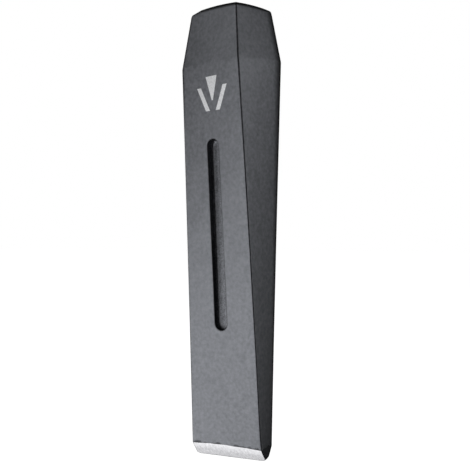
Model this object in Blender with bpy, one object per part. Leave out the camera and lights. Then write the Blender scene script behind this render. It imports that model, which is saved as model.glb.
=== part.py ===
"""Twisted splitting wedge, forged in one piece from a steel bar.

Frame: metres, +Z up. The origin is the middle of the cutting edge. The cutting edge lies along X, and the
lower end of the front wide face looks towards -Y. The section turns clockwise, seen from above, on its way
up, so the wedge forces a log apart and twists it at once.

The wedge is made as the smith makes it: a straight bar with a groove sunk in each wide face, which is then
drawn down to the cutting edge and to the crown, and twisted about its own axis.
"""

import math

import bmesh
import bpy
from mathutils import Matrix, Vector

# Overall size
HEIGHT = 0.250  # cutting edge to the middle of the crown
WIDTH = 0.0434  # across the wide face, the same from the edge to the shoulder

# Twist
TWIST_AT_SHOULDER = math.radians(-15.4)  # about +Z, from the cutting edge to the shoulder

# Shoulder, where the tapering body meets the chamfered head
SHOULDER_HEIGHT = 0.2182
SHOULDER_THICKNESS = 0.0368
SHOULDER_LIFT = 0.0019  # one corner of the shoulder is forged this much higher, the opposite one lower
SHOULDER_BLEND = 0.050  # the lift dies out over this length of body

# Crown, the domed striking end
CROWN_WIDTH = 0.0336
CROWN_THICKNESS = 0.0295
CROWN_RADIUS = 0.170  # of the dome
CROWN_RIM = 0.0010  # rounding of the crown's rim
CROWN_RIM_SEGMENTS = 2
CROWN_RINGS = (0.80, 0.60, 0.38)  # outlines of the dome's facets, as shares of the crown's own
CROWN_FLAT_RADIUS = 0.5 * CROWN_RINGS[-1] * math.hypot(CROWN_WIDTH, CROWN_THICKNESS)

# Body
BODY_BULGE = 0.0008  # how much thicker the middle of the body is than a straight taper
BODY_STEP = 0.0055  # height of one slice of the body
FRONT_EDGE_RADIUS = 0.0009  # the two long edges of the front wide face
BACK_EDGE_RADIUS = 0.0020  # the two long edges of the back wide face
EDGE_SEGMENTS = 2

# Ground cutting bevel
BEVEL_HEIGHT = 0.0075
BEVEL_THICKNESS = 0.0141  # of the body just above the bevel
EDGE_LAND = 0.0006  # thickness left at the cutting edge
EDGE_CORNER_RADIUS = 0.0030  # rounding at the two ends of the cutting edge
EDGE_CORNER_STEPS = 4

# Groove in each wide face
GROOVE_WIDTH = 0.0078
GROOVE_DEPTH = 0.0048  # in the bar; drawing the bar down makes it shallower with the body
GROOVE_FOOT = 0.0717  # height of the groove's lower end
GROOVE_TOP = 0.1764
GROOVE_FLOOR_RADIUS = 0.0012
GROOVE_ARC_STEPS = 8
CUTTER_OVERSHOOT = 0.004  # how far a cutter stands out of the bar

# Coat
PAINT_COLOUR = (0.105, 0.107, 0.115, 1.0)  # dark grey satin paint
PAINT_ROUGHNESS = 0.5
PAINT_METALLIC = 0.2

SMOOTH_ANGLE = math.radians(25.0)
TOLERANCE = 1e-6


def clear_scene():
    """Remove every object of the scene."""
    for item in list(bpy.data.objects):
        bpy.data.objects.remove(item, do_unlink=True)


def mix(start, end, share):
    """Value that lies a share of the way from start to end."""
    return start + (end - start) * share


def body_share(height):
    """0 at the top of the bevel, 1 at the shoulder."""
    return (height - BEVEL_HEIGHT) / (SHOULDER_HEIGHT - BEVEL_HEIGHT)


def head_share(height):
    """0 at the shoulder, 1 at the crown."""
    return (height - SHOULDER_HEIGHT) / (HEIGHT - SHOULDER_HEIGHT)


def thickness_at(height):
    """Distance between the wide faces."""
    if height < BEVEL_HEIGHT:
        return mix(EDGE_LAND, BEVEL_THICKNESS, height / BEVEL_HEIGHT)
    if height > SHOULDER_HEIGHT:
        return mix(SHOULDER_THICKNESS, CROWN_THICKNESS, head_share(height))
    share = body_share(height)
    bulge = BODY_BULGE * 4.0 * share * (1.0 - share)
    return mix(BEVEL_THICKNESS, SHOULDER_THICKNESS, share) + bulge


def width_at(height):
    """Distance between the narrow faces."""
    if height > SHOULDER_HEIGHT:
        return mix(WIDTH, CROWN_WIDTH, head_share(height))
    below = max(0.0, EDGE_CORNER_RADIUS - height)
    inset = EDGE_CORNER_RADIUS - math.sqrt(EDGE_CORNER_RADIUS**2 - below**2)
    return WIDTH - 2.0 * inset


def twist_at(height):
    """Turn of the section about +Z; the head isn't twisted in itself."""
    return TWIST_AT_SHOULDER * min(height / SHOULDER_HEIGHT, 1.0)


def shoulder_lift(bar_point):
    """How much higher the shoulder is forged near one corner of the bar, and lower near the opposite one."""
    across = 0.5 * (bar_point.x / (0.5 * WIDTH) + bar_point.y / (0.5 * SHOULDER_THICKNESS))
    if bar_point.z > SHOULDER_HEIGHT:
        nearness = 1.0 - head_share(bar_point.z)
    else:
        nearness = max(0.0, 1.0 - (SHOULDER_HEIGHT - bar_point.z) / SHOULDER_BLEND)
    return SHOULDER_LIFT * across * nearness


def dome_drop(x, y):
    """How far the dome has fallen below its middle, which is flat as far as the innermost outline."""
    return max(0.0, x * x + y * y - CROWN_FLAT_RADIUS**2) / (2.0 * CROWN_RADIUS)


def forge(bar_point):
    """Place on the finished wedge of a point of the straight bar."""
    height = bar_point.z
    x = bar_point.x * width_at(height) / WIDTH
    y = bar_point.y * thickness_at(height) / SHOULDER_THICKNESS
    if height > HEIGHT - CROWN_RIM - TOLERANCE:
        height -= dome_drop(x, y)
    turned = Matrix.Rotation(twist_at(height), 3, "Z") @ Vector((x, y, 0.0))
    return Vector((turned.x, turned.y, height + shoulder_lift(bar_point)))


def slice_heights():
    """Heights at which the bar is sliced, from the cutting edge up."""
    corner = [
        EDGE_CORNER_RADIUS * (1.0 - math.cos(math.radians(90.0) * step / EDGE_CORNER_STEPS))
        for step in range(1, EDGE_CORNER_STEPS + 1)
    ]
    slices = round((SHOULDER_HEIGHT - BEVEL_HEIGHT) / BODY_STEP)
    body = [mix(BEVEL_HEIGHT, SHOULDER_HEIGHT, step / slices) for step in range(slices + 1)]
    return corner + body


def long_edges(shape, side):
    """Long edges of the bar on one wide side: -1 is the front, 1 the back."""
    return [
        edge
        for edge in shape.edges
        if abs(edge.verts[0].co.z - edge.verts[1].co.z) > 0.5 * HEIGHT and edge.verts[0].co.y * side > 0.0
    ]


def raise_crown(shape):
    """Round the rim at the bar's top, and close it with rings of facets around a flat middle."""
    top = [face for face in shape.faces if face.normal.z > 0.9]
    outlines = []
    for segment in range(1, CROWN_RIM_SEGMENTS + 1):
        angle = math.radians(90.0) * segment / CROWN_RIM_SEGMENTS
        inset = CROWN_RIM * (1.0 - math.cos(angle)) / (0.5 * CROWN_WIDTH)
        outlines.append((1.0 - inset, CROWN_RIM * math.sin(angle)))
    outlines += [(share, CROWN_RIM) for share in CROWN_RINGS]
    last_share, last_rise = 1.0, 0.0
    for share, rise in outlines:
        drawn = bmesh.ops.extrude_face_region(shape, geom=top)
        moved = [item for item in drawn["geom"] if isinstance(item, bmesh.types.BMVert)]
        bmesh.ops.delete(shape, geom=top, context="FACES_ONLY")
        top = [item for item in drawn["geom"] if isinstance(item, bmesh.types.BMFace)]
        bmesh.ops.scale(shape, verts=moved, vec=(share / last_share, share / last_share, 1.0))
        bmesh.ops.translate(shape, verts=moved, vec=(0.0, 0.0, rise - last_rise))
        last_share, last_rise = share, rise


def make_bar():
    """Straight bar with broken long edges and the crown's facets on its upper end."""
    shape = bmesh.new()
    length = HEIGHT - CROWN_RIM
    size = Matrix.Diagonal((WIDTH, SHOULDER_THICKNESS, length, 1.0))
    bmesh.ops.create_cube(shape, size=1.0, matrix=Matrix.Translation((0.0, 0.0, 0.5 * length)) @ size)
    for side, radius in ((-1, FRONT_EDGE_RADIUS), (1, BACK_EDGE_RADIUS)):
        bmesh.ops.bevel(
            shape,
            geom=long_edges(shape, side),
            offset=radius,
            offset_type="OFFSET",
            segments=EDGE_SEGMENTS,
            profile=0.5,
            affect="EDGES",
        )
    raise_crown(shape)
    return shape


def groove_outline():
    """Outline of the groove in the plane of a wide face: two half circles joined by straight sides."""
    radius = 0.5 * GROOVE_WIDTH
    outline = []
    for centre, start in ((GROOVE_TOP - radius, 0.0), (GROOVE_FOOT + radius, math.pi)):
        for step in range(GROOVE_ARC_STEPS + 1):
            angle = start + math.pi * step / GROOVE_ARC_STEPS
            outline.append((radius * math.cos(angle), centre + radius * math.sin(angle)))
    return outline


def make_groove_cutter(side):
    """Solid that sinks the groove in one wide face: side -1 is the front, 1 the back."""
    shape = bmesh.new()
    floor = side * (0.5 * SHOULDER_THICKNESS - GROOVE_DEPTH)
    outside = side * (0.5 * SHOULDER_THICKNESS + CUTTER_OVERSHOOT)
    floor_face = shape.faces.new([shape.verts.new((x, floor, z)) for x, z in groove_outline()])
    drawn = bmesh.ops.extrude_face_region(shape, geom=[floor_face], use_keep_orig=True)
    moved = [item for item in drawn["geom"] if isinstance(item, bmesh.types.BMVert)]
    bmesh.ops.translate(shape, verts=moved, vec=(0.0, outside - floor, 0.0))
    floor_edges = [edge for edge in shape.edges if all(abs(v.co.y - floor) < TOLERANCE for v in edge.verts)]
    bmesh.ops.bevel(
        shape,
        geom=floor_edges,
        offset=GROOVE_FLOOR_RADIUS,
        offset_type="OFFSET",
        segments=2,
        profile=0.5,
        affect="EDGES",
    )
    bmesh.ops.recalc_face_normals(shape, faces=shape.faces)
    return shape


def add_object(name, shape):
    """Object with the mesh of a bmesh, which it uses up."""
    mesh = bpy.data.meshes.new(name)
    shape.to_mesh(mesh)
    shape.free()
    item = bpy.data.objects.new(name, mesh)
    bpy.context.scene.collection.objects.link(item)
    return item


def sink_grooves(bar):
    """Cut a groove in each wide face of the bar, and apply the cuts to its mesh."""
    cutters = []
    for side in (-1, 1):
        cutter = add_object(f"groove_cutter_{'front' if side < 0 else 'back'}", make_groove_cutter(side))
        cutter.hide_render = True
        cutter.display_type = "WIRE"
        cutters.append(cutter)
        cut = bar.modifiers.new(cutter.name, "BOOLEAN")
        cut.operation = "DIFFERENCE"
        cut.solver = "EXACT"
        cut.object = cutter
    evaluated = bar.evaluated_get(bpy.context.evaluated_depsgraph_get())
    grooved = bpy.data.meshes.new_from_object(evaluated)
    bar.modifiers.clear()
    bar.data = grooved
    for cutter in cutters:
        bpy.data.objects.remove(cutter, do_unlink=True)


def forge_to_shape(bar):
    """Slice the bar across, then draw it down and twist it."""
    shape = bmesh.new()
    shape.from_mesh(bar.data)
    for height in slice_heights():
        everything = shape.verts[:] + shape.edges[:] + shape.faces[:]
        bmesh.ops.bisect_plane(
            shape,
            geom=everything,
            dist=TOLERANCE,
            plane_co=(0.0, 0.0, height),
            plane_no=(0.0, 0.0, 1.0),
        )
    bmesh.ops.triangulate(shape, faces=shape.faces, quad_method="BEAUTY", ngon_method="BEAUTY")
    for vert in shape.verts:
        vert.co = forge(vert.co.copy())
    bmesh.ops.recalc_face_normals(shape, faces=shape.faces)
    shape.to_mesh(bar.data)
    shape.free()


def paint():
    """Dark grey satin paint over forged steel."""
    material = bpy.data.materials.new("dark_satin_paint")
    material.use_nodes = True
    shader = material.node_tree.nodes["Principled BSDF"]
    shader.inputs["Base Color"].default_value = PAINT_COLOUR
    shader.inputs["Roughness"].default_value = PAINT_ROUGHNESS
    shader.inputs["Metallic"].default_value = PAINT_METALLIC
    return material


def make_wedge():
    """The whole wedge: head, twisted body and cutting edge in one forging."""
    wedge = add_object("wedge_forging", make_bar())
    sink_grooves(wedge)
    forge_to_shape(wedge)
    wedge.data.materials.clear()
    wedge.data.materials.append(paint())
    wedge.data.shade_smooth()
    wedge.data.set_sharp_from_angle(angle=SMOOTH_ANGLE)


clear_scene()
make_wedge()
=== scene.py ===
"""Looks of the twisted splitting wedge: a forging with a satin coat, a ground edge and a printed mark.

The forging is made the way a smith would make it. A straight bar gets its edges broken and a groove milled
into each wide face. A lattice then stands in for the forging dies: it draws the bar down to the cutting edge
and to the crown, and twists it about its own axis. Lengths are metres, +Z is up, and the origin is the middle
of the cutting edge.
"""

import logging
import math
from collections.abc import Callable, Iterator
from contextlib import contextmanager
from dataclasses import dataclass
from enum import Enum
from typing import Any

import bmesh
import bpy
from mathutils import Matrix, Vector


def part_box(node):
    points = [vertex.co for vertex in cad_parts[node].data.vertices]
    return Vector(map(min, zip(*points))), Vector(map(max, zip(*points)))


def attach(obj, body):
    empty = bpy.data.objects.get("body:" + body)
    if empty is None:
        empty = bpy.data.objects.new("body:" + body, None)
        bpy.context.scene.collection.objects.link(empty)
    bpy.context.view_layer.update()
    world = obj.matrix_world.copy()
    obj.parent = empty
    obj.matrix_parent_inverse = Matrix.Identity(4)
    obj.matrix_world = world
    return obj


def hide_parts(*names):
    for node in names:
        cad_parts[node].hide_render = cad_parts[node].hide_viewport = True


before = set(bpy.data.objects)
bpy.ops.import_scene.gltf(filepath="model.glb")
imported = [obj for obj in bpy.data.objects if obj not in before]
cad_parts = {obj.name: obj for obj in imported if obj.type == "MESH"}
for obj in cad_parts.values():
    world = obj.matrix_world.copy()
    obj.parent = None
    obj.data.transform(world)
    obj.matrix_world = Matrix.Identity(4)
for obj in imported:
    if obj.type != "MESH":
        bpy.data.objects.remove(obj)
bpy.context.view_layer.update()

ROOT = "root"
CAD_NODE = "wedge_forging"
PLACE = "bar_place"  # where a point lay in the straight bar, in millimetres
TINY = 1e-6
MM = 0.001
WHITE = "#FFFFFF"
NOISE_RANGE = (0.3, 0.7)  # nearly all values of a noise lie between these
SENSOR_MM = 36.0

log = logging.getLogger("wedge")


class WideSide(Enum):
    """The two wide faces, by the sign of Y in the straight bar."""

    FRONT = -1.0
    BACK = 1.0


class Axis(Enum):
    """Directions of the straight bar."""

    ACROSS = Vector((1.0, 0.0, 0.0))
    THROUGH = Vector((0.0, 1.0, 0.0))
    UP = Vector((0.0, 0.0, 1.0))


# ---------------------------------------------------------------------------------------------- helpers


def mix(start: float, end: float, share: float) -> float:
    """Value that lies a share of the way from start to end."""
    return start + (end - start) * share


def colour(hex_code: str) -> tuple[float, float, float, float]:
    """Linear colour of an sRGB hex code.

    Args:
        hex_code: Six hex digits after a hash.

    Returns:
        Linear red, green and blue, and an alpha of 1.
    """
    values = [int(hex_code[place : place + 2], 16) / 255.0 for place in (1, 3, 5)]
    red, green, blue = (v / 12.92 if v <= 0.04045 else ((v + 0.055) / 1.055) ** 2.4 for v in values)
    return (red, green, blue, 1.0)


def add_node(
    tree: bpy.types.NodeTree,
    kind: str,
    settings: dict[Any, Any] | None = None,
    links: dict[Any, Any] | None = None,
) -> bpy.types.Node:
    """Add a node with its settings and its incoming links.

    Args:
        tree: The material's or the world's node tree.
        kind: Blender's name of the node's type.
        settings: Values by name or number. The number or name of an input sets that input, and any other
            name sets the node's own property.
        links: Output sockets by the name or number of the input that they feed.

    Returns:
        The new node.
    """
    node = tree.nodes.new(kind)
    for name, value in (settings or {}).items():
        if isinstance(name, int) or name in node.inputs:
            node.inputs[name].default_value = value
        else:
            setattr(node, name, value)
    for name, socket in (links or {}).items():
        tree.links.new(socket, node.inputs[name])
    return node


def ramp(tree: bpy.types.NodeTree, source: Any, stops: list[tuple[float, tuple[float, ...]]]) -> Any:
    """Colour ramp over a value.

    Args:
        tree: The material's node tree.
        source: The output socket to map.
        stops: Position and linear colour of each stop, in rising order.

    Returns:
        The ramp's colour output.
    """
    node = add_node(tree, "ShaderNodeValToRGB", links={"Fac": source})
    elements = node.color_ramp.elements
    while len(elements) < len(stops):
        elements.new(1.0)
    for element, (position, value) in zip(elements, stops):
        element.position = position
        element.color = value
    return node.outputs["Color"]


def bar_axes(tree: bpy.types.NodeTree) -> Any:
    """Sockets X, Y and Z of a point's place in the straight bar, in millimetres."""
    bar = add_node(tree, "ShaderNodeAttribute", {"attribute_name": PLACE})
    return add_node(tree, "ShaderNodeSeparateXYZ", links={"Vector": bar.outputs["Vector"]}).outputs


def deselect_all() -> None:
    """Leave nothing selected."""
    bpy.ops.object.select_all(action="DESELECT")


def take_up(piece: bpy.types.Object) -> None:
    """Make a piece the only selected and the active one.

    Args:
        piece: The piece to work on next.
    """
    deselect_all()
    piece.select_set(True)
    bpy.context.view_layer.objects.active = piece


@contextmanager
def editing(piece: bpy.types.Object) -> Iterator[None]:
    """Edit mode on one piece, with nothing selected at first.

    Args:
        piece: The piece to edit.
    """
    take_up(piece)
    bpy.ops.object.mode_set(mode="EDIT")
    bpy.ops.mesh.select_mode(type="EDGE")
    bpy.ops.mesh.select_all(action="DESELECT")
    yield
    bpy.ops.object.mode_set(mode="OBJECT")


def pick(piece: bpy.types.Object, kind: str, wanted: Callable[[Any], bool]) -> int:
    """Select only the wanted elements of the mesh in edit mode.

    Args:
        piece: The piece in edit mode.
        kind: "VERT", "EDGE" or "FACE".
        wanted: True for each element to select.

    Returns:
        How many elements were selected.
    """
    bpy.ops.mesh.select_mode(type=kind)
    bpy.ops.mesh.select_all(action="DESELECT")
    mesh = bmesh.from_edit_mesh(piece.data)
    elements = {"VERT": mesh.verts, "EDGE": mesh.edges, "FACE": mesh.faces}[kind]
    chosen = [element for element in elements if wanted(element)]
    for element in chosen:
        element.select_set(True)
    mesh.select_flush_mode()
    bmesh.update_edit_mesh(piece.data)
    return len(chosen)


def add_block(name: str, centre: Vector, size: Vector) -> bpy.types.Object:
    """Rectangular block with its place and size in its mesh.

    Args:
        name: Name of the block and of its mesh.
        centre: Where its middle is.
        size: Its sides along X, Y and Z.

    Returns:
        The block.
    """
    deselect_all()
    bpy.ops.mesh.primitive_cube_add(size=1.0, location=centre, scale=size)
    bpy.ops.object.transform_apply(location=True, rotation=True, scale=True)
    block = bpy.context.object
    block.name = name
    block.data.name = name
    return block


def slice_mesh(direction: Vector, places: list[float]) -> None:
    """Cut the whole mesh in edit mode across a direction.

    Args:
        direction: The direction that the cuts stand across.
        places: Distance of each cut along the direction.
    """
    for place in places:
        bpy.ops.mesh.select_all(action="SELECT")
        bpy.ops.mesh.bisect(plane_co=direction * place, plane_no=direction, threshold=TINY)


def between(low: float, high: float, step: float) -> list[float]:
    """Evenly spaced places from low to high, both left out, about a step apart."""
    count = max(1, round((high - low) / step))
    return [mix(low, high, number / count) for number in range(1, count)]


def apply_modifier(piece: bpy.types.Object, kind: str, **settings: Any) -> None:
    """Add a modifier to a piece, and apply it.

    Args:
        piece: The piece to change.
        kind: Blender's name of the modifier's type.
        **settings: The modifier's own settings.
    """
    take_up(piece)
    modifier = piece.modifiers.new(kind.lower(), kind)
    for name, value in settings.items():
        setattr(modifier, name, value)
    bpy.ops.object.modifier_apply(modifier=modifier.name)


def discard(helper: bpy.types.Object) -> None:
    """Remove a helper object that is no longer needed."""
    bpy.data.objects.remove(helper, do_unlink=True)


# --------------------------------------------------------------------------------------------- finishes


@dataclass(frozen=True)
class SatinEnamel:
    """Graphite-grey metallic enamel, sprayed on over scaled forged steel.

    The coat is thin and satin. It follows the scale of the forging, so the surface is faintly pebbled at
    two millimetres, mottled at a centimetre, and rough and gritty on the groove's floor, where scale stays.
    The crown's rim and the long edges are dull and darkened by painted shade, as is a line round each
    groove's lip.
    """

    name: str = "satin_enamel_on_forged_steel"
    dark: str = "#6C6E73"
    light: str = "#87898E"
    metallic: float = 0.8
    roughness: float = 0.36
    roughness_spread: tuple[float, float] = (-0.03, 0.04)
    floor_roughness: float = 0.44
    mottle_mm: float = 9.0
    pebble_mm: float = 2.0
    pebble_share: float = 0.8
    pebble_bump_mm: float = 0.018
    pebble_bump: float = 0.5
    grit_mm: float = 0.7
    grit_noise: tuple[float, float] = (0.35, 0.62)
    grit_tone: tuple[float, float] = (0.62, 1.15)
    sunk_mm: tuple[float, float] = (0.5, 2.0)  # depth below the face where grit starts, and where it is full
    groove_margin_mm: float = 0.4
    # Painted shade: a dark line is painted round each groove's lip, in place of the shade of its rim.
    lip_shade_outset_mm: float = 0.15  # from the groove's wall to the middle of the painted dark shade line on its lip
    lip_shade_fade_mm: tuple[float, float] = (0.15, 0.6)
    lip_shade_tone: float = 0.45
    # Painted shade: the coat is darkened on the crown's rim, the head's left edge and the back edges.
    edge_mm: float = 1.6  # width of the painted dark shade line round the crown's rim
    edge_fade_mm: tuple[float, float] = (0.8, 2.4)  # where the long edges' painted shade line starts to fade, and ends
    back_edge_mm: float = 5.0  # the painted shade line is wider round the back edges, which are rounded more
    edge_shade_from: tuple[float, float] = (0.72, 0.84)  # shares of the height where painted shade starts on the head's left edge
    edge_shade_tone: float = 0.12
    edge_roughness: float = 0.6
    rim_mm: float = 0.7  # how far the grinder's heat has browned the coat above the bevel
    rim_ragged_mm: float = 4.0
    rim_noise: tuple[float, float] = (0.42, 0.62)
    rim_soft_mm: float = 0.3
    rim_tone: float = 0.35

    def make(self, form: "WedgeForm") -> bpy.types.Material:
        """Build the material.

        Args:
            form: The wedge's form, for the places of its edges and grooves.

        Returns:
            The finished material.
        """
        material = bpy.data.materials.new(self.name)
        material.use_nodes = True
        tree = material.node_tree
        shader = tree.nodes["Principled BSDF"]
        place = add_node(tree, "ShaderNodeTexCoord").outputs["Object"]
        mottle, pebble = (
            add_node(
                tree, "ShaderNodeTexNoise", {"Scale": 1.0 / (size * MM), "Detail": detail, "Roughness": 0.55},
                {"Vector": place},
            ).outputs["Fac"]
            for size, detail in ((self.mottle_mm, 4.0), (self.pebble_mm, 2.0))
        )
        blend = add_node(
            tree, "ShaderNodeMix", {"data_type": "FLOAT", 0: self.pebble_share}, {2: mottle, 3: pebble}
        )
        low, high = NOISE_RANGE
        tone = ramp(tree, blend.outputs[0], [(low, colour(self.dark)), (high, colour(self.light))])
        sunk = self.inside_groove(tree, form)
        dull_shaded_edges = self.dull_shaded_edges_mask(tree, form)
        shaded = add_node(
            tree, "ShaderNodeMix", {"data_type": "RGBA", "blend_type": "MULTIPLY", 0: 1.0},
            {6: tone, 7: self.shade(tree, form, place, sunk, dull_shaded_edges)},
        )
        tree.links.new(shaded.outputs[2], shader.inputs["Base Color"])
        shader.inputs["Metallic"].default_value = self.metallic
        smoother, duller = (self.roughness + step for step in self.roughness_spread)
        gloss = add_node(
            tree, "ShaderNodeMapRange",
            {"From Min": low, "From Max": high, "To Min": smoother, "To Max": duller},
            {"Value": pebble},
        )
        rough = gloss.outputs["Result"]
        for mask, value in ((sunk, self.floor_roughness), (dull_shaded_edges, self.edge_roughness)):
            rough = add_node(
                tree, "ShaderNodeMix", {"data_type": "FLOAT", 3: value}, {0: mask, 2: rough}
            ).outputs[0]
        tree.links.new(rough, shader.inputs["Roughness"])
        bump = add_node(
            tree, "ShaderNodeBump", {"Strength": self.pebble_bump, "Distance": self.pebble_bump_mm * MM},
            {"Height": pebble},
        )
        tree.links.new(bump.outputs["Normal"], shader.inputs["Normal"])
        return material

    def shade(self, tree: bpy.types.NodeTree, form: "WedgeForm", place: Any, sunk: Any, dull_shaded_edges: Any) -> Any:
        """Share of its tone that the coat keeps: on grit, at the browned rim, and under painted shade on
        edges and lip.

        Args:
            tree: The material's node tree.
            form: The wedge's form.
            place: The socket with object coordinates.
            sunk: The groove mask's socket.
            dull_shaded_edges: The socket of the mask of dull edges, which painted shade darkens.

        Returns:
            The share's output socket.
        """
        # Painted shade: the edge mask darkens the coat's tone on the crown's rim and the edges.
        edges = add_node(
            tree, "ShaderNodeMapRange", {"To Min": 1.0, "To Max": self.edge_shade_tone}, {"Value": dull_shaded_edges}
        )
        # Painted shade: the coat is darkened along a thin line round each groove's lip.
        near, far = self.lip_shade_fade_mm
        lip_shade = add_node(
            tree, "ShaderNodeMapRange",
            {"From Min": near, "From Max": far, "To Min": self.lip_shade_tone, "To Max": 1.0},
            {"Value": self.distance_from_lip_shade_line(tree, form)},
        )
        whole = self.grit_share(tree, place, sunk)
        for share in (self.rim_share(tree, form, place), edges.outputs["Result"], lip_shade.outputs["Result"]):
            product = add_node(tree, "ShaderNodeMath", {"operation": "MULTIPLY"}, {0: whole, 1: share})
            whole = product.outputs[0]
        return whole

    def grit_share(self, tree: bpy.types.NodeTree, place: Any, sunk: Any) -> Any:
        """Share of its tone that the coat keeps over the grit in the grooves.

        Args:
            tree: The material's node tree.
            place: The socket with object coordinates.
            sunk: The groove mask's socket.

        Returns:
            The share's output socket.
        """
        grit = add_node(
            tree, "ShaderNodeTexNoise", {"Scale": 1.0 / (self.grit_mm * MM), "Detail": 2.0}, {"Vector": place}
        )
        (start, end), (low, high) = self.grit_noise, self.grit_tone
        specks = add_node(
            tree, "ShaderNodeMapRange", {"From Min": start, "From Max": end, "To Min": low, "To Max": high},
            {"Value": grit.outputs["Fac"]},
        )
        return add_node(
            tree, "ShaderNodeMix", {"data_type": "FLOAT", 2: 1.0}, {0: sunk, 3: specks.outputs["Result"]}
        ).outputs[0]

    def rim_share(self, tree: bpy.types.NodeTree, form: "WedgeForm", place: Any) -> Any:
        """Share of its tone that the coat keeps at its ragged, browned lower rim.

        Args:
            tree: The material's node tree.
            form: The wedge's form.
            place: The socket with object coordinates.

        Returns:
            The share's output socket.
        """
        line = form.layer_in_bar(form.bevel_layer) / MM
        ragged = add_node(
            tree, "ShaderNodeTexNoise", {"Scale": 1.0 / (self.rim_ragged_mm * MM), "Detail": 3.0},
            {"Vector": place},
        )
        start, end = self.rim_noise
        reach = add_node(
            tree, "ShaderNodeMapRange",
            {"From Min": start, "From Max": end, "To Min": line, "To Max": line + 2.0 * self.rim_mm},
            {"Value": ragged.outputs["Fac"]},
        )
        above = add_node(
            tree, "ShaderNodeMath", {"operation": "SUBTRACT"},
            {0: bar_axes(tree)["Z"], 1: reach.outputs["Result"]},
        )
        soft = self.rim_soft_mm
        return add_node(
            tree, "ShaderNodeMapRange",
            {"From Min": -soft, "From Max": soft, "To Min": self.rim_tone, "To Max": 1.0},
            {"Value": above.outputs[0]},
        ).outputs["Result"]

    def distance_from_lip_shade_line(self, tree: bpy.types.NodeTree, form: "WedgeForm") -> Any:
        """Distance from the painted dark shade line on the groove's lip, in millimetres.

        Args:
            tree: The material's node tree.
            form: The wedge's form.

        Returns:
            The distance's output socket.
        """
        foot, top = (form.in_bar(height) / MM for height in (form.groove_foot, form.groove_top))
        radius = 0.5 * form.groove_width / MM
        axes = bar_axes(tree)
        past = axes["Z"]
        for settings in (
            {"operation": "SUBTRACT", 1: 0.5 * (foot + top)},
            {"operation": "ABSOLUTE"},
            {"operation": "SUBTRACT", 1: 0.5 * (top - foot) - radius},
            {"operation": "MAXIMUM", 1: 0.0},
        ):
            past = add_node(tree, "ShaderNodeMath", settings, {0: past}).outputs[0]
        arm = add_node(tree, "ShaderNodeCombineXYZ", links={"X": axes["X"], "Y": past})
        length = add_node(tree, "ShaderNodeVectorMath", {"operation": "LENGTH"}, {0: arm.outputs[0]})
        gap = length.outputs["Value"]
        line = radius + self.lip_shade_outset_mm
        for settings in ({"operation": "SUBTRACT", 1: line}, {"operation": "ABSOLUTE"}):
            gap = add_node(tree, "ShaderNodeMath", settings, {0: gap}).outputs[0]
        return gap

    def dull_shaded_edges_mask(self, tree: bpy.types.NodeTree, form: "WedgeForm") -> Any:
        """Mask that is 1 on the crown's rim, the head's left edge and the back edges, which are dull and get
        painted shade.

        Args:
            tree: The material's node tree.
            form: The wedge's form.

        Returns:
            The mask's output socket.
        """
        axes = bar_axes(tree)
        inward = []
        for axis, size in (("X", form.width), ("Y", form.shoulder_thickness)):
            out = add_node(tree, "ShaderNodeMath", {"operation": "ABSOLUTE"}, {0: axes[axis]})
            gap = add_node(
                tree, "ShaderNodeMath", {"operation": "SUBTRACT", 0: 0.5 * size / MM}, {1: out.outputs[0]}
            )
            inward.append(gap.outputs[0])
        narrower = add_node(
            tree, "ShaderNodeMapRange",
            {"From Min": 0.0, "From Max": 1.0, "To Min": 1.0, "To Max": self.edge_mm / self.back_edge_mm},
            {"Value": axes["Y"]},
        )
        from_back = add_node(
            tree, "ShaderNodeMath", {"operation": "MULTIPLY"}, {0: inward[1], 1: narrower.outputs["Result"]}
        )
        corner = add_node(
            tree, "ShaderNodeMath", {"operation": "MAXIMUM"}, {0: inward[0], 1: from_back.outputs[0]}
        )
        rim = add_node(tree, "ShaderNodeMath", {"operation": "MINIMUM"}, {0: inward[0], 1: inward[1]})
        top = form.height / MM
        low, high = (share * top for share in self.edge_shade_from)
        near, far = self.edge_fade_mm
        on_corner, on_head, on_rim, on_top = (
            add_node(
                tree, "ShaderNodeMapRange",
                {"From Min": start, "From Max": end, "To Min": first, "To Max": last},
                {"Value": source},
            ).outputs["Result"]
            for source, start, end, first, last in (
                (corner.outputs[0], near, far, 1.0, 0.0),
                (axes["Z"], low, high, 0.0, 1.0),
                (rim.outputs[0], self.edge_mm, 2.0 * self.edge_mm, 1.0, 0.0),
                (axes["Z"], top - 2.0 * self.edge_mm, top - self.edge_mm, 0.0, 1.0),
            )
        )
        left = add_node(
            tree, "ShaderNodeMath", {"operation": "MULTIPLY", "use_clamp": True, 1: -1.0}, {0: axes["X"]}
        )
        upper = add_node(tree, "ShaderNodeMath", {"operation": "MULTIPLY"}, {0: on_head, 1: left.outputs[0]})
        there = add_node(
            tree, "ShaderNodeMath", {"operation": "MAXIMUM", "use_clamp": True},
            {0: upper.outputs[0], 1: axes["Y"]},
        )
        along, around = (
            add_node(tree, "ShaderNodeMath", {"operation": "MULTIPLY"}, {0: first, 1: second}).outputs[0]
            for first, second in ((on_corner, there.outputs[0]), (on_rim, on_top))
        )
        return add_node(tree, "ShaderNodeMath", {"operation": "MAXIMUM"}, {0: along, 1: around}).outputs[0]

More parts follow.
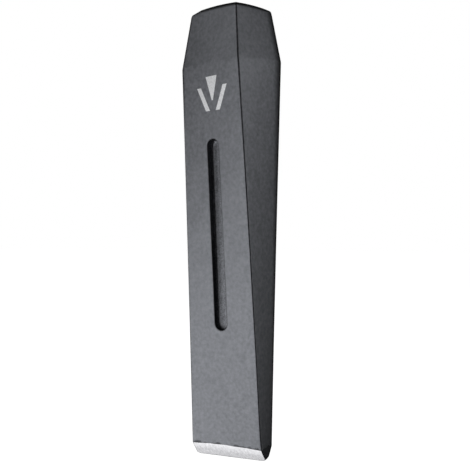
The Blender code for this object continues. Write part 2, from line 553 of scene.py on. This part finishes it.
    def inside_groove(self, tree: bpy.types.NodeTree, form: "WedgeForm") -> Any:
        """Mask that is 0 on the faces and rises to 1 inside the grooves.

        Args:
            tree: The material's node tree.
            form: The wedge's form.

        Returns:
            The mask's output socket.
        """
        axes = bar_axes(tree)
        across, through = (
            add_node(tree, "ShaderNodeMath", {"operation": "ABSOLUTE"}, {0: axes[axis]}).outputs[0]
            for axis in ("X", "Y")
        )
        start, full = (0.5 * form.shoulder_thickness / MM - depth for depth in self.sunk_mm)
        deep = add_node(tree, "ShaderNodeMapRange", {"From Min": start, "From Max": full}, {"Value": through})
        reach = 0.5 * form.groove_width / MM + self.groove_margin_mm
        near = add_node(tree, "ShaderNodeMath", {"operation": "LESS_THAN", 1: reach}, {0: across})
        return add_node(
            tree, "ShaderNodeMath", {"operation": "MULTIPLY"}, {0: deep.outputs["Result"], 1: near.outputs[0]}
        ).outputs[0]


@dataclass(frozen=True)
class GroundSteel:
    """Carbon steel, ground bare on a belt: bright, with fine lines straight up from the cutting edge."""

    name: str = "belt_ground_steel"
    dark: str = "#AEAEB1"
    light: str = "#E6E6E9"
    roughness: float = 0.34
    line_mm: float = 1.2  # true lines are 0.1 mm apart; drawn coarser, so that they show
    line_stretch: float = 0.06  # how much slower the pattern runs up than across
    line_bump_mm: float = 0.02
    line_bump: float = 0.4
    tone_stops: tuple[float, float] = (0.3, 0.85)
    top_brightening: float = 0.3  # how much brighter the steel is towards the top of the bevel, just below the paint

    def make(self, form: "WedgeForm") -> bpy.types.Material:
        """Build the material.

        Args:
            form: The wedge's form, for the place of the ground line.

        Returns:
            The finished material.
        """
        material = bpy.data.materials.new(self.name)
        material.use_nodes = True
        tree = material.node_tree
        shader = tree.nodes["Principled BSDF"]
        place = add_node(tree, "ShaderNodeTexCoord").outputs["Object"]
        along = add_node(
            tree, "ShaderNodeMapping", {"Scale": (1.0, 1.0, self.line_stretch)}, {"Vector": place}
        )
        lines = add_node(
            tree, "ShaderNodeTexNoise", {"Scale": 1.0 / (self.line_mm * MM), "Detail": 4.0, "Roughness": 0.7},
            {"Vector": along.outputs["Vector"]},
        )
        top = form.layer_in_bar(form.bevel_layer) / MM
        top_brightening_ramp = add_node(
            tree, "ShaderNodeMapRange", {"From Min": 0.5 * top, "From Max": top, "To Max": self.top_brightening},
            {"Value": bar_axes(tree)["Z"]},
        )
        bright = add_node(
            tree, "ShaderNodeMath", {"operation": "ADD"},
            {0: lines.outputs["Fac"], 1: top_brightening_ramp.outputs["Result"]},
        )
        low, high = self.tone_stops
        tone = ramp(tree, bright.outputs[0], [(low, colour(self.dark)), (high, colour(self.light))])
        tree.links.new(tone, shader.inputs["Base Color"])
        shader.inputs["Metallic"].default_value = 1.0
        shader.inputs["Roughness"].default_value = self.roughness
        bump = add_node(
            tree, "ShaderNodeBump", {"Strength": self.line_bump, "Distance": self.line_bump_mm * MM},
            {"Height": lines.outputs["Fac"]},
        )
        tree.links.new(bump.outputs["Normal"], shader.inputs["Normal"])
        return material


@dataclass(frozen=True)
class PrintInk:
    """Silver-white pad-printing ink: satin, with a metallic pigment, and a little thin over the pebbles."""

    name: str = "white_print_ink"
    light: str = "#F6F7F9"
    thin: str = "#DADBDE"
    metallic: float = 0.85
    roughness: float = 0.38
    cover_mm: float = 0.7  # size of the spots where the ink is thin
    tone_stops: tuple[float, float] = (0.3, 0.5)

    def make(self) -> bpy.types.Material:
        """Build the material.

        Returns:
            The finished material.
        """
        material = bpy.data.materials.new(self.name)
        material.use_nodes = True
        tree = material.node_tree
        shader = tree.nodes["Principled BSDF"]
        place = add_node(tree, "ShaderNodeTexCoord").outputs["Object"]
        cover = add_node(
            tree, "ShaderNodeTexNoise", {"Scale": 1.0 / (self.cover_mm * MM), "Detail": 3.0},
            {"Vector": place},
        )
        low, high = self.tone_stops
        tone = ramp(tree, cover.outputs["Fac"], [(low, colour(self.thin)), (high, colour(self.light))])
        tree.links.new(tone, shader.inputs["Base Color"])
        shader.inputs["Metallic"].default_value = self.metallic
        shader.inputs["Roughness"].default_value = self.roughness
        return material


# ------------------------------------------------------------------------------------------- the forging


@dataclass(frozen=True)
class WedgeForm:
    """Sizes of the wedge, and where each point of the straight bar ends up on it.

    Points of the dies are told by across and through, from -1 to 1 over the bar's width and thickness, and by
    their layer, from 0 at the cutting edge.
    """

    height: float
    width: float = 0.0433
    shoulder_height: float = 0.2182
    shoulder_thickness: float = 0.0367
    shoulder_lift: float = 0.0019  # one corner is this much higher, and the opposite one lower
    shoulder_blend: float = 0.050  # length of body over which the lift dies out
    crown_width: float = 0.0336
    crown_thickness: float = 0.0295
    crown_radius: float = 0.170
    crown_flat: float = 0.0082
    crown_rim: float = 0.0017
    crown_tilt: float = 0.0007
    crown_corner: float = 0.0011  # how far the crown's worn corner is beaten down
    crown_corner_reach: float = 0.4
    body_bulge: float = 0.0008
    bevel_height: float = 0.0075
    bevel_thickness: float = 0.0141
    bevel_line: tuple[tuple[float, float], ...] = (  # place along a wide face, and millimetres up
        (-1.0, -0.1), (-0.8, 0.0), (-0.5, 0.45), (-0.3, 0.45), (0.0, 0.65), (0.2, 0.35), (0.6, 0.25),
        (1.0, -0.5),
    )
    bevel_corner_ease: float = 0.0008  # how far one end of the bevel's upper line is worn back
    bevel_ease_start: float = 0.5
    bevel_ease_layers: float = 3.0
    edge_land: float = 0.0020
    edge_nose: float = 0.0004
    edge_corner_radii: tuple[float, float] = (0.0012, 0.0030)
    twist: float = math.radians(-15.4)
    wide_face_crown: float = 0.00030
    narrow_face_crown: float = 0.00035
    back_roll: float = 0.0004
    back_roll_start: float = 0.4
    wave_height: float = 0.00006
    wave_ends: float = 3.0  # how steeply the waves die out towards the long edges
    slow_waves: float = 4.3  # waves up the wedge, and how they slant
    slow_slant: float = 0.35
    slow_swing: tuple[float, float] = (2.2, 3.0)
    slow_part: float = 0.7
    fast_waves: float = 8.9
    fast_slant: float = -0.6
    groove_width: float = 0.0078
    groove_depth_top: float = 0.0039
    groove_depth_foot: float = 0.0031
    groove_draft: float = 0.0004
    groove_foot: float = 0.0717
    groove_top: float = 0.1764
    layers: int = 61
    bevel_layer: int = 2
    shoulder_layer: int = 52

    def layer_in_bar(self, layer: float) -> float:
        """Height in the straight bar of a layer of the dies."""
        return self.height * layer / (self.layers - 1)

    def layer_on_wedge(self, layer: float) -> float:
        """Height on the finished wedge of a layer of the dies.

        Args:
            layer: The layer, from 0 at the cutting edge.

        Returns:
            The height, in metres.
        """
        if layer <= self.bevel_layer:
            return self.bevel_height * layer / self.bevel_layer
        if layer <= self.shoulder_layer:
            share = (layer - self.bevel_layer) / (self.shoulder_layer - self.bevel_layer)
            return mix(self.bevel_height, self.shoulder_height, share)
        share = (layer - self.shoulder_layer) / (self.layers - 1 - self.shoulder_layer)
        return mix(self.shoulder_height, self.height, share)

    def in_bar(self, height: float) -> float:
        """Height in the straight bar of a height on the body of the wedge."""
        share = (height - self.bevel_height) / (self.shoulder_height - self.bevel_height)
        return self.layer_in_bar(mix(self.bevel_layer, self.shoulder_layer, share))

    def depth_in_bar(self, depth: float, height: float) -> float:
        """Depth in the straight bar of a depth on the finished wedge."""
        return depth * self.shoulder_thickness / self.thickness_at(height)

    def thickness_at(self, height: float) -> float:
        """Distance between the wide faces.

        Args:
            height: Height on the finished wedge.

        Returns:
            The thickness there, in metres.
        """
        if height < self.bevel_height:
            return mix(self.edge_land, self.bevel_thickness, height / self.bevel_height)
        if height > self.shoulder_height:
            share = (height - self.shoulder_height) / (self.height - self.shoulder_height)
            return mix(self.shoulder_thickness, self.crown_thickness, share)
        share = (height - self.bevel_height) / (self.shoulder_height - self.bevel_height)
        bulge = self.body_bulge * 4.0 * share * (1.0 - share)
        return mix(self.bevel_thickness, self.shoulder_thickness, share) + bulge

    def width_at(self, height: float) -> float:
        """Distance between the narrow faces.

        Args:
            height: Height on the finished wedge.

        Returns:
            The width there, in metres.
        """
        if height <= self.shoulder_height:
            return self.width
        share = (height - self.shoulder_height) / (self.height - self.shoulder_height)
        return mix(self.width, self.crown_width, share)

    def wave(self, across: float, height: float) -> float:
        """Unevenness that the dies leave in a wide face.

        Args:
            across: Place across the face.
            height: Height on the finished wedge.

        Returns:
            How far the face stands out there, in metres.
        """
        up = height / self.height
        swing_across, swing_up = self.slow_swing
        slow = math.sin(math.tau * (self.slow_waves * up + self.slow_slant * across))
        slow *= math.cos(swing_across * across + swing_up * up)
        fast = math.sin(math.tau * (self.fast_waves * up + self.fast_slant * across) + 1.0)
        both = mix(fast, slow, self.slow_part)
        return self.wave_height * both * min(1.0, self.wave_ends * (1.0 - across**2))

    def lift_at(self, across: float, through: float, height: float) -> float:
        """How much higher a point near the shoulder is forged than the drawing says.

        Args:
            across: Place across the width.
            through: Place through the thickness.
            height: Height on the finished wedge.

        Returns:
            The rise, in metres.
        """
        if height > self.shoulder_height:
            nearness = (self.height - height) / (self.height - self.shoulder_height)
        else:
            nearness = max(0.0, 1.0 - (self.shoulder_height - height) / self.shoulder_blend)
        return self.shoulder_lift * 0.5 * (across + through) * nearness

    def ground_line(self, along: float) -> float:
        """How much higher than the drawing the bevel was ground.

        Args:
            along: Place along a wide face, from -1 to 1.

        Returns:
            The rise, in metres.
        """
        for (start, low), (end, high) in zip(self.bevel_line, self.bevel_line[1:]):
            if along <= end:
                return mix(low, high, (along - start) / (end - start)) * MM
        return 0.0

    def corner_ease(self, along: float, layer: int) -> float:
        """How far one end of the bevel's upper line is worn back.

        Args:
            along: Place along a wide face, from -1 to 1.
            layer: The layer of the dies.

        Returns:
            The wear, in metres.
        """
        nearness = max(0.0, (along - self.bevel_ease_start) / (1.0 - self.bevel_ease_start)) ** 2
        fade = max(0.0, 1.0 - abs(layer - self.bevel_layer) / self.bevel_ease_layers) ** 2
        return self.bevel_corner_ease * nearness * (fade if layer >= self.bevel_layer else 0.0)

    def place(self, across: float, through: float, layer: int) -> Vector:
        """Place on the finished wedge of a point of the dies.

        Args:
            across: From -1 to 1, along the wide faces.
            through: From -1, the front wide face, to 1, the back one.
            layer: The layer of the dies, from 0 at the cutting edge.

        Returns:
            The point, in metres.
        """
        height = self.layer_on_wedge(layer)
        thickness = self.thickness_at(height)
        slim = thickness / self.shoulder_thickness
        roll = self.back_roll * max(0.0, (through - self.back_roll_start) / (1.0 - self.back_roll_start)) ** 2
        out = self.narrow_face_crown * (1.0 - through**2) - roll
        x = across * (0.5 * self.width_at(height) + out * slim)
        y = through * (0.5 * thickness + self.wide_face_crown * slim * (1.0 - across**2))
        y += through * self.wave(across, height)
        y -= through * self.corner_ease(-across * through, layer)
        rise = self.lift_at(across, through, height)
        if layer == 0:
            rise += self.edge_nose * through**2
        if layer == self.bevel_layer:
            rise += self.ground_line(-across * through)
        if layer == self.layers - 1:
            rise -= max(0.0, x * x + y * y - self.crown_flat**2) / (2.0 * self.crown_radius)
            rise -= self.crown_tilt * max(0.0, -0.5 * (across + through))
            from_corner = math.hypot(across + 1.0, through + 1.0) / self.crown_corner_reach
            rise -= self.crown_corner * max(0.0, 1.0 - from_corner)
        turn = Matrix.Rotation(self.twist * min(height / self.shoulder_height, 1.0), 3, "Z")
        return turn @ Vector((x, y, 0.0)) + Vector((0.0, 0.0, height + rise))


@dataclass
class Forging:
    """The whole wedge in steel: head, twisted body and cutting edge."""

    form: WedgeForm
    name: str = "forged_wedge"
    front_edge_radius: float = 0.0009
    back_edge_radius: float = 0.0023
    edge_segments: int = 5
    edge_corner_segments: int = 6
    crown_rim_segments: int = 5
    edge_guard: float = 0.00015
    grid: float = 0.0013
    row: float = 0.0015
    crown_rings: tuple[float, ...] = (0.93, 0.86, 0.78, 0.70, 0.61, 0.52, 0.42, 0.32)
    cutter_overshoot: float = 0.004
    groove_end_segments: int = 10
    groove_end_slack: float = 0.00001  # keeps the two roundings of a slot's end from meeting
    groove_floor_radius: float = 0.0016
    groove_floor_segments: int = 4
    groove_rim_radius: float = 0.0004
    groove_rim_angles: tuple[float, ...] = (60.0, 90.0)
    groove_grid: float = 0.0009
    die_columns: int = 21
    smooth_below: float = math.radians(31.0)
    painted_ends_mm: float = 0.4  # width of paint left on the bevel's two ends

    def build(self, dies: bpy.types.Object) -> bpy.types.Object:
        """Make the forging's mesh.

        Args:
            dies: The lattice that shapes the straight bar.

        Returns:
            The piece, with its place in its mesh.
        """
        bar = self.make_bar()
        for side in WideSide:
            cutter = self.make_cutter(side)
            apply_modifier(bar, "BOOLEAN", operation="DIFFERENCE", solver="EXACT", object=cutter)
            discard(cutter)
        self.remember_place(bar)
        apply_modifier(bar, "LATTICE", object=dies)
        self.smooth(bar)
        return bar

    def make_bar(self) -> bpy.types.Object:
        """Straight bar with broken edges, a rounded rim and a fine grid of faces.

        Returns:
            The bar.
        """
        form = self.form
        half_width, half_thickness = 0.5 * form.width, 0.5 * form.shoulder_thickness
        size = Vector((form.width, form.shoulder_thickness, form.height))
        bar = add_block(self.name, Vector((0.0, 0.0, 0.5 * form.height)), size)
        with editing(bar):
            for side, radius in ((-1.0, self.front_edge_radius), (1.0, self.back_edge_radius)):
                pick(
                    bar, "EDGE",
                    lambda edge, side=side: abs(edge.verts[0].co.z - edge.verts[1].co.z) > 0.5 * form.height
                    and edge.verts[0].co.y * side > half_thickness - TINY,
                )
                bpy.ops.mesh.bevel(offset=radius, segments=self.edge_segments, affect="EDGES")
            self.round_edge_corners(bar)
            self.raise_crown(bar)
            slice_mesh(Axis.ACROSS.value, self.columns(half_width))
            slice_mesh(Axis.THROUGH.value, self.columns(half_thickness))
            bevel_top = form.layer_in_bar(form.bevel_layer)
            shoulder = form.layer_in_bar(form.shoulder_layer)
            rim = form.height - form.crown_rim
            rows = [*between(0.0, bevel_top, 0.5 * self.row), bevel_top]
            rows += [*between(bevel_top, shoulder, self.row), shoulder, *between(shoulder, rim, self.row)]
            slice_mesh(Axis.UP.value, rows)
        return bar

    def columns(self, half: float) -> list[float]:
        """Places of the grid's cuts across a face: even ones, and one guard cut beside each rounded edge.

        Args:
            half: Distance from the middle of the face to its sharp corner.

        Returns:
            The places, from one side to the other.
        """
        outer = half - self.front_edge_radius - self.edge_guard
        inner = half - self.back_edge_radius - self.edge_guard
        return [-outer, -inner, *between(-inner, inner, self.grid), inner, outer]

    def round_edge_corners(self, bar: bpy.types.Object) -> None:
        """Round the two ends of the coming cutting edge.

        Args:
            bar: The bar, in edit mode.
        """
        end = 0.5 * self.form.width - self.back_edge_radius - TINY
        for side, radius in zip((-1.0, 1.0), self.form.edge_corner_radii):
            pick(
                bar, "EDGE",
                lambda edge, side=side: all(
                    vert.co.z < TINY and vert.co.x * side > end for vert in edge.verts
                ),
            )
            bpy.ops.mesh.bevel(offset=radius, segments=self.edge_corner_segments, affect="EDGES")

    def raise_crown(self, bar: bpy.types.Object) -> None:
        """Round the rim of the bar's top, and fill the top with rings of faces.

        Args:
            bar: The bar, in edit mode.
        """
        top = self.form.height
        pick(bar, "EDGE", lambda edge: all(vert.co.z > top - TINY for vert in edge.verts))
        bpy.ops.mesh.bevel(offset=self.form.crown_rim, segments=self.crown_rim_segments, affect="EDGES")
        pick(bar, "FACE", lambda face: all(vert.co.z > top - TINY for vert in face.verts))
        last = 1.0
        for share in self.crown_rings:
            bpy.ops.mesh.extrude_region_move(TRANSFORM_OT_translate={"value": (0.0, 0.0, 0.0)})
            bpy.ops.transform.resize(value=(share / last, share / last, 1.0), center_override=(0.0, 0.0, top))
            last = share

    def make_cutter(self, side: WideSide) -> bpy.types.Object:
        """Milling cutter's path for one groove: a slot with round ends, a radiused floor and a flared mouth.

        Args:
            side: The wide face that the groove is cut into.

        Returns:
            The path, as a closed piece.
        """
        form, sign = self.form, side.value
        foot, top = form.in_bar(form.groove_foot), form.in_bar(form.groove_top)
        face = 0.5 * form.shoulder_thickness
        depth = form.depth_in_bar(form.groove_depth_top, form.groove_top)
        deeper = form.depth_in_bar(form.groove_depth_foot, form.groove_foot) - depth
        floor, mouth = face - depth, face - self.groove_rim_radius
        centre = Vector((0.0, sign * 0.5 * (floor + mouth), 0.5 * (foot + top)))
        size = Vector((form.groove_width, mouth - floor, top - foot))
        cutter = add_block(f"groove_cutter_{side.name.lower()}", centre, size)
        with editing(cutter):
            pick(
                cutter, "EDGE",
                lambda edge: all(
                    abs(vert.co.y) < floor + TINY and vert.co.z < centre.z for vert in edge.verts
                ),
            )
            bpy.ops.transform.translate(value=(0.0, -sign * deeper, 0.0))
            pick(cutter, "EDGE", lambda edge: abs(edge.verts[0].co.y - edge.verts[1].co.y) > 1.5 * deeper)
            radius = 0.5 * form.groove_width - self.groove_end_slack
            bpy.ops.mesh.bevel(offset=radius, segments=self.groove_end_segments, affect="EDGES")
            pick(cutter, "EDGE", lambda edge: all(abs(vert.co.y) < floor + TINY for vert in edge.verts))
            slimmer = 1.0 - 2.0 * form.groove_draft / form.groove_width
            shorter = 1.0 - 2.0 * form.groove_draft / (top - foot)
            bpy.ops.transform.resize(value=(slimmer, 1.0, shorter), center_override=(0.0, 0.0, centre.z))
            bpy.ops.mesh.bevel(
                offset=self.groove_floor_radius, segments=self.groove_floor_segments, affect="EDGES"
            )
            pick(cutter, "FACE", lambda end: all(abs(vert.co.y) > mouth - TINY for vert in end.verts))
            self.flare(sign, centre.z, top - foot)
            bpy.ops.mesh.extrude_region_move(
                TRANSFORM_OT_translate={"value": (0.0, sign * self.cutter_overshoot, 0.0)}
            )
            half = 0.5 * form.groove_width
            slice_mesh(Axis.ACROSS.value, between(-half, half, self.groove_grid))
            slice_mesh(Axis.UP.value, between(foot, top, self.groove_grid))
            bpy.ops.mesh.select_all(action="SELECT")
            bpy.ops.mesh.normals_make_consistent(inside=False)
        return cutter

    def flare(self, sign: float, middle: float, length: float) -> None:
        """Draw the selected mouth of a cutter out along a quarter round.

        Args:
            sign: The side of the bar that the mouth opens to.
            middle: Height of the mouth's middle.
            length: Length of the mouth before the flare.
        """
        radius, width = self.groove_rim_radius, self.form.groove_width
        last_out, last_up = 0.0, 0.0
        for angle in self.groove_rim_angles:
            out = radius * (1.0 - math.cos(math.radians(angle)))
            up = radius * math.sin(math.radians(angle))
            bpy.ops.mesh.extrude_region_move(
                TRANSFORM_OT_translate={"value": (0.0, sign * (up - last_up), 0.0)}
            )
            wider = (width + 2.0 * out) / (width + 2.0 * last_out)
            longer = (length + 2.0 * out) / (length + 2.0 * last_out)
            bpy.ops.transform.resize(value=(wider, 1.0, longer), center_override=(0.0, 0.0, middle))
            last_out, last_up = out, up

    def remember_place(self, bar: bpy.types.Object) -> None:
        """Store each vertex's place in the straight bar, in millimetres, for the materials.

        Args:
            bar: The bar, before the dies shape it.
        """
        attribute = bar.data.attributes.new(PLACE, "FLOAT_VECTOR", "POINT")
        for vert, value in zip(bar.data.vertices, attribute.data):
            value.vector = vert.co / MM

    def make_dies(self) -> bpy.types.Object:
        """Lattice that draws the bar down and twists it.

        Returns:
            The lattice, with the straight bar's size at rest.
        """
        form = self.form
        deselect_all()
        bpy.ops.object.add(type="LATTICE", location=(0.0, 0.0, 0.5 * form.height))
        dies = bpy.context.object
        dies.scale = (form.width, form.shoulder_thickness, form.height)
        bpy.context.view_layer.update()
        cage = dies.data
        cage.points_u, cage.points_v, cage.points_w = self.die_columns, self.die_columns, form.layers
        cage.interpolation_type_u = cage.interpolation_type_v = cage.interpolation_type_w = "KEY_LINEAR"
        to_cage = dies.matrix_world.inverted()
        last = self.die_columns - 1
        for number, point in enumerate(cage.points):
            column, rest = number % self.die_columns, number // self.die_columns
            across = 2.0 * column / last - 1.0
            through = 2.0 * (rest % self.die_columns) / last - 1.0
            point.co_deform = to_cage @ form.place(across, through, rest // self.die_columns)
        return dies

    def smooth(self, bar: bpy.types.Object) -> None:
        """Shade the bar smooth, apart from its sharp ground lines."""
        take_up(bar)
        bpy.ops.object.shade_smooth_by_angle(angle=self.smooth_below, keep_sharp_edges=False)

    def dress(self, bar: bpy.types.Object) -> None:
        """Give the body its enamel and the bevel its bare ground steel.

        Args:
            bar: The finished forging.
        """
        bar.data.materials.clear()
        bar.data.materials.append(SatinEnamel().make(self.form))
        bar.data.materials.append(GroundSteel().make(self.form))
        bevel_top = self.form.layer_in_bar(self.form.bevel_layer) / MM
        inner = 0.5 * self.form.width / MM - self.painted_ends_mm
        places = bar.data.attributes[PLACE].data
        for face in bar.data.polygons:
            spots = [places[vert].vector for vert in face.vertices]
            height = sum(spot.z for spot in spots) / len(spots)
            out = sum(abs(spot.x) for spot in spots) / len(spots)
            face.material_index = 1 if height < bevel_top and out < inner else 0


# ------------------------------------------------------------------------------------------ the printing


@dataclass(frozen=True)
class Stroke:
    """One straight-sided patch of the printed mark, in millimetres from the mark's middle."""

    name: str
    middle: float
    foot: float
    top: float
    foot_width: float
    top_width: float
    lean: float


@dataclass
class PrintedMark:
    """White pictogram on the head: a wedge between the two halves of a split log."""

    form: WedgeForm
    name: str = "printed_mark"
    height: float = 0.2016
    across: float = 0.0014
    proud: float = 0.00003
    sunk: float = 0.00005
    grid: float = 0.001
    reach: tuple[float, float] = (-0.012, 0.014)  # the grid's limits across the face
    strokes: tuple[Stroke, ...] = (
        Stroke("wedge_sign", 0.0, -3.8, 9.4, 0.9, 8.4, 0.0),
        Stroke("left_half_sign", -6.6, -9.4, 3.8, 3.0, 3.0, -6.0),
        Stroke("right_half_sign", 6.6, -9.4, 3.8, 3.0, 3.0, 6.0),
    )

    def build(self, dies: bpy.types.Object) -> bpy.types.Object:
        """Make the mark's mesh.

        Args:
            dies: The lattice that shapes the forging, so that the print lies on its face.

        Returns:
            The piece, with its place in its mesh.
        """
        pieces = [self.lay(stroke) for stroke in self.strokes]
        take_up(pieces[0])
        for piece in pieces[1:]:
            piece.select_set(True)
        bpy.ops.object.join()
        mark = bpy.context.object
        mark.name = mark.data.name = self.name
        apply_modifier(mark, "LATTICE", object=dies)
        mark.data.materials.append(PrintInk().make())
        return mark

    def lay(self, stroke: Stroke) -> bpy.types.Object:
        """Thin closed patch for one stroke, on the front wide face of the straight bar.

        Args:
            stroke: The stroke.

        Returns:
            The patch.
        """
        face = -0.5 * self.form.shoulder_thickness
        middle = self.form.in_bar(self.height) + 0.5 * (stroke.foot + stroke.top) * MM
        centre = Vector((self.across + stroke.middle * MM, face + 0.5 * (self.sunk - self.proud), middle))
        size = Vector((stroke.top_width * MM, self.sunk + self.proud, (stroke.top - stroke.foot) * MM))
        patch = add_block(stroke.name, centre, size)
        with editing(patch):
            slice_mesh(Axis.UP.value, between(middle - 0.5 * size.z, middle + 0.5 * size.z, self.grid))
            mesh = bmesh.from_edit_mesh(patch.data)
            for vert in mesh.verts:
                share = (vert.co.z - middle) / size.z + 0.5
                width = mix(stroke.foot_width, stroke.top_width, share) / stroke.top_width
                lean = stroke.lean * (share - 0.5) * MM
                vert.co.x = centre.x + (vert.co.x - centre.x) * width + lean
            bmesh.update_edit_mesh(patch.data)
            slice_mesh(Axis.ACROSS.value, between(*self.reach, self.grid))
        return patch


# ------------------------------------------------------------------------------------------- the studio


@dataclass(frozen=True)
class Softbox:
    """One softbox, placed as it is seen from the wedge.

    Bearings are degrees to the right of the camera, elevations are degrees above the level of the wedge's
    middle, and the spread is how many degrees it takes up sideways and upwards.
    """

    name: str
    bearing: float
    elevation: float
    spread: tuple[float, float]
    brightness: float


@dataclass
class Studio:
    """Floor, lights and camera around the wedge."""

    azimuth: float = 28.0
    distance: float = 0.5134
    eye_height: float = 0.1240
    eye_right: float = 0.00155
    lens: float = 70.41
    reach: float = 1.4
    floor_size: float = 12.0
    floor_colour: str = "#E0E0E0"
    floor_roughness: float = 0.9
    room_glow: float = 0.004
    near_clip: float = 0.01
    softboxes: tuple[Softbox, ...] = (
        Softbox("left_edge_low", -79.0, -26.0, (24.0, 48.0), 1.85),
        Softbox("left_edge_high", -79.0, 23.0, (26.0, 50.0), 0.85),
        Softbox("left_low", -51.0, -24.0, (31.0, 50.0), 1.35),
        Softbox("left_high", -48.0, 10.0, (34.0, 18.0), 0.62),
        Softbox("right_middle", 82.0, 0.0, (22.0, 40.0), 1.15),
        Softbox("right_high", 88.0, 33.0, (22.0, 30.0), 0.65),
        Softbox("right_fill", 109.0, 0.0, (22.0, 50.0), 0.24),
        Softbox("front_fill", 42.0, 20.0, (34.0, 44.0), 0.2),
        Softbox("rear_high", 190.0, 40.0, (60.0, 26.0), 0.35),
        Softbox("rear_left", -124.0, 5.0, (22.0, 34.0), 1.3),
        Softbox("low_bounce", -100.0, -64.0, (50.0, 36.0), 1.4),
    )

    def direction(self, bearing: float, elevation: float = 0.0) -> Vector:
        """Unit vector from the wedge.

        Args:
            bearing: Degrees to the right of the camera's own direction.
            elevation: Degrees above level.

        Returns:
            The vector.
        """
        turn, rise = math.radians(self.azimuth + bearing), math.radians(elevation)
        return Vector(
            (math.sin(turn) * math.cos(rise), -math.cos(turn) * math.cos(rise), math.sin(rise))
        )

    def add_camera(self) -> None:
        """Level camera at the height of the wedge's middle."""
        back = self.direction(0.0)
        right = Vector((-back.y, back.x, 0.0))
        deselect_all()
        bpy.ops.object.camera_add()
        camera = bpy.context.object
        camera.name = "camera"
        camera.data.lens = self.lens
        camera.data.sensor_width = SENSOR_MM
        camera.data.clip_start = self.near_clip
        camera.location = back * self.distance + right * self.eye_right + Vector((0.0, 0.0, self.eye_height))
        camera.rotation_euler = (-back).to_track_quat("-Z", "Y").to_euler()
        bpy.context.scene.camera = camera

    def add_softbox(self, box: Softbox) -> None:
        """Rectangular area light that faces the wedge's middle.

        Args:
            box: The softbox.
        """
        out = self.direction(box.bearing, box.elevation)
        deselect_all()
        bpy.ops.object.light_add(type="AREA")
        light = bpy.context.object
        light.name = box.name
        light.data.shape = "RECTANGLE"
        sides = [2.0 * self.reach * math.tan(math.radians(0.5 * angle)) for angle in box.spread]
        light.data.size, light.data.size_y = sides
        light.data.energy = math.pi * sides[0] * sides[1] * box.brightness
        light.location = out * self.reach + Vector((0.0, 0.0, self.eye_height))
        light.rotation_euler = (-out).to_track_quat("-Z", "Y").to_euler()

    def add_floor(self) -> None:
        """Plain pale floor that the cutting edge stands on."""
        deselect_all()
        bpy.ops.mesh.primitive_plane_add(size=self.floor_size, location=(0.0, 0.0, 0.0))
        floor = bpy.context.object
        floor.name = "floor"
        material = bpy.data.materials.new("pale_floor")
        material.use_nodes = True
        shader = material.node_tree.nodes["Principled BSDF"]
        shader.inputs["Base Color"].default_value = colour(self.floor_colour)
        shader.inputs["Roughness"].default_value = self.floor_roughness
        shader.inputs["Emission Color"].default_value = colour(WHITE)
        shader.inputs["Emission Strength"].default_value = 1.0
        floor.data.materials.append(material)
        floor.visible_glossy = False
        floor.visible_diffuse = False

    def add_world(self) -> None:
        """White surroundings to look at, and a dim room for the light that reaches the wedge."""
        world = bpy.data.worlds.new("studio")
        world.use_nodes = True
        bpy.context.scene.world = world
        tree = world.node_tree
        tree.nodes.clear()
        seen, room = (
            add_node(tree, "ShaderNodeBackground", {"Color": colour(WHITE), "Strength": strength})
            for strength in (1.0, self.room_glow)
        )
        path = add_node(tree, "ShaderNodeLightPath")
        both = add_node(
            tree, "ShaderNodeMixShader",
            links={0: path.outputs["Is Camera Ray"], 1: room.outputs[0], 2: seen.outputs[0]},
        )
        add_node(tree, "ShaderNodeOutputWorld", links={"Surface": both.outputs[0]})

    def build(self) -> None:
        """Set up the whole studio."""
        self.add_camera()
        self.add_floor()
        self.add_world()
        for box in self.softboxes:
            self.add_softbox(box)
        bpy.context.scene.view_settings.view_transform = "Standard"


def main() -> None:
    """Build the wedge and the studio, and report each piece."""
    logging.basicConfig(level=logging.INFO, format="%(name)s: %(message)s")
    low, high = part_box(CAD_NODE)
    form = WedgeForm(height=high.z - low.z)
    forging = Forging(form)
    dies = forging.make_dies()
    wedge = forging.build(dies)
    forging.dress(wedge)
    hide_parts(CAD_NODE)
    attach(wedge, ROOT)
    log.info("%s: %d faces", wedge.name, len(wedge.data.polygons))
    mark = PrintedMark(form).build(dies)
    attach(mark, ROOT)
    log.info("%s: %d faces", mark.name, len(mark.data.polygons))
    discard(dies)
    Studio().build()


if __name__ == "__main__":
    main()
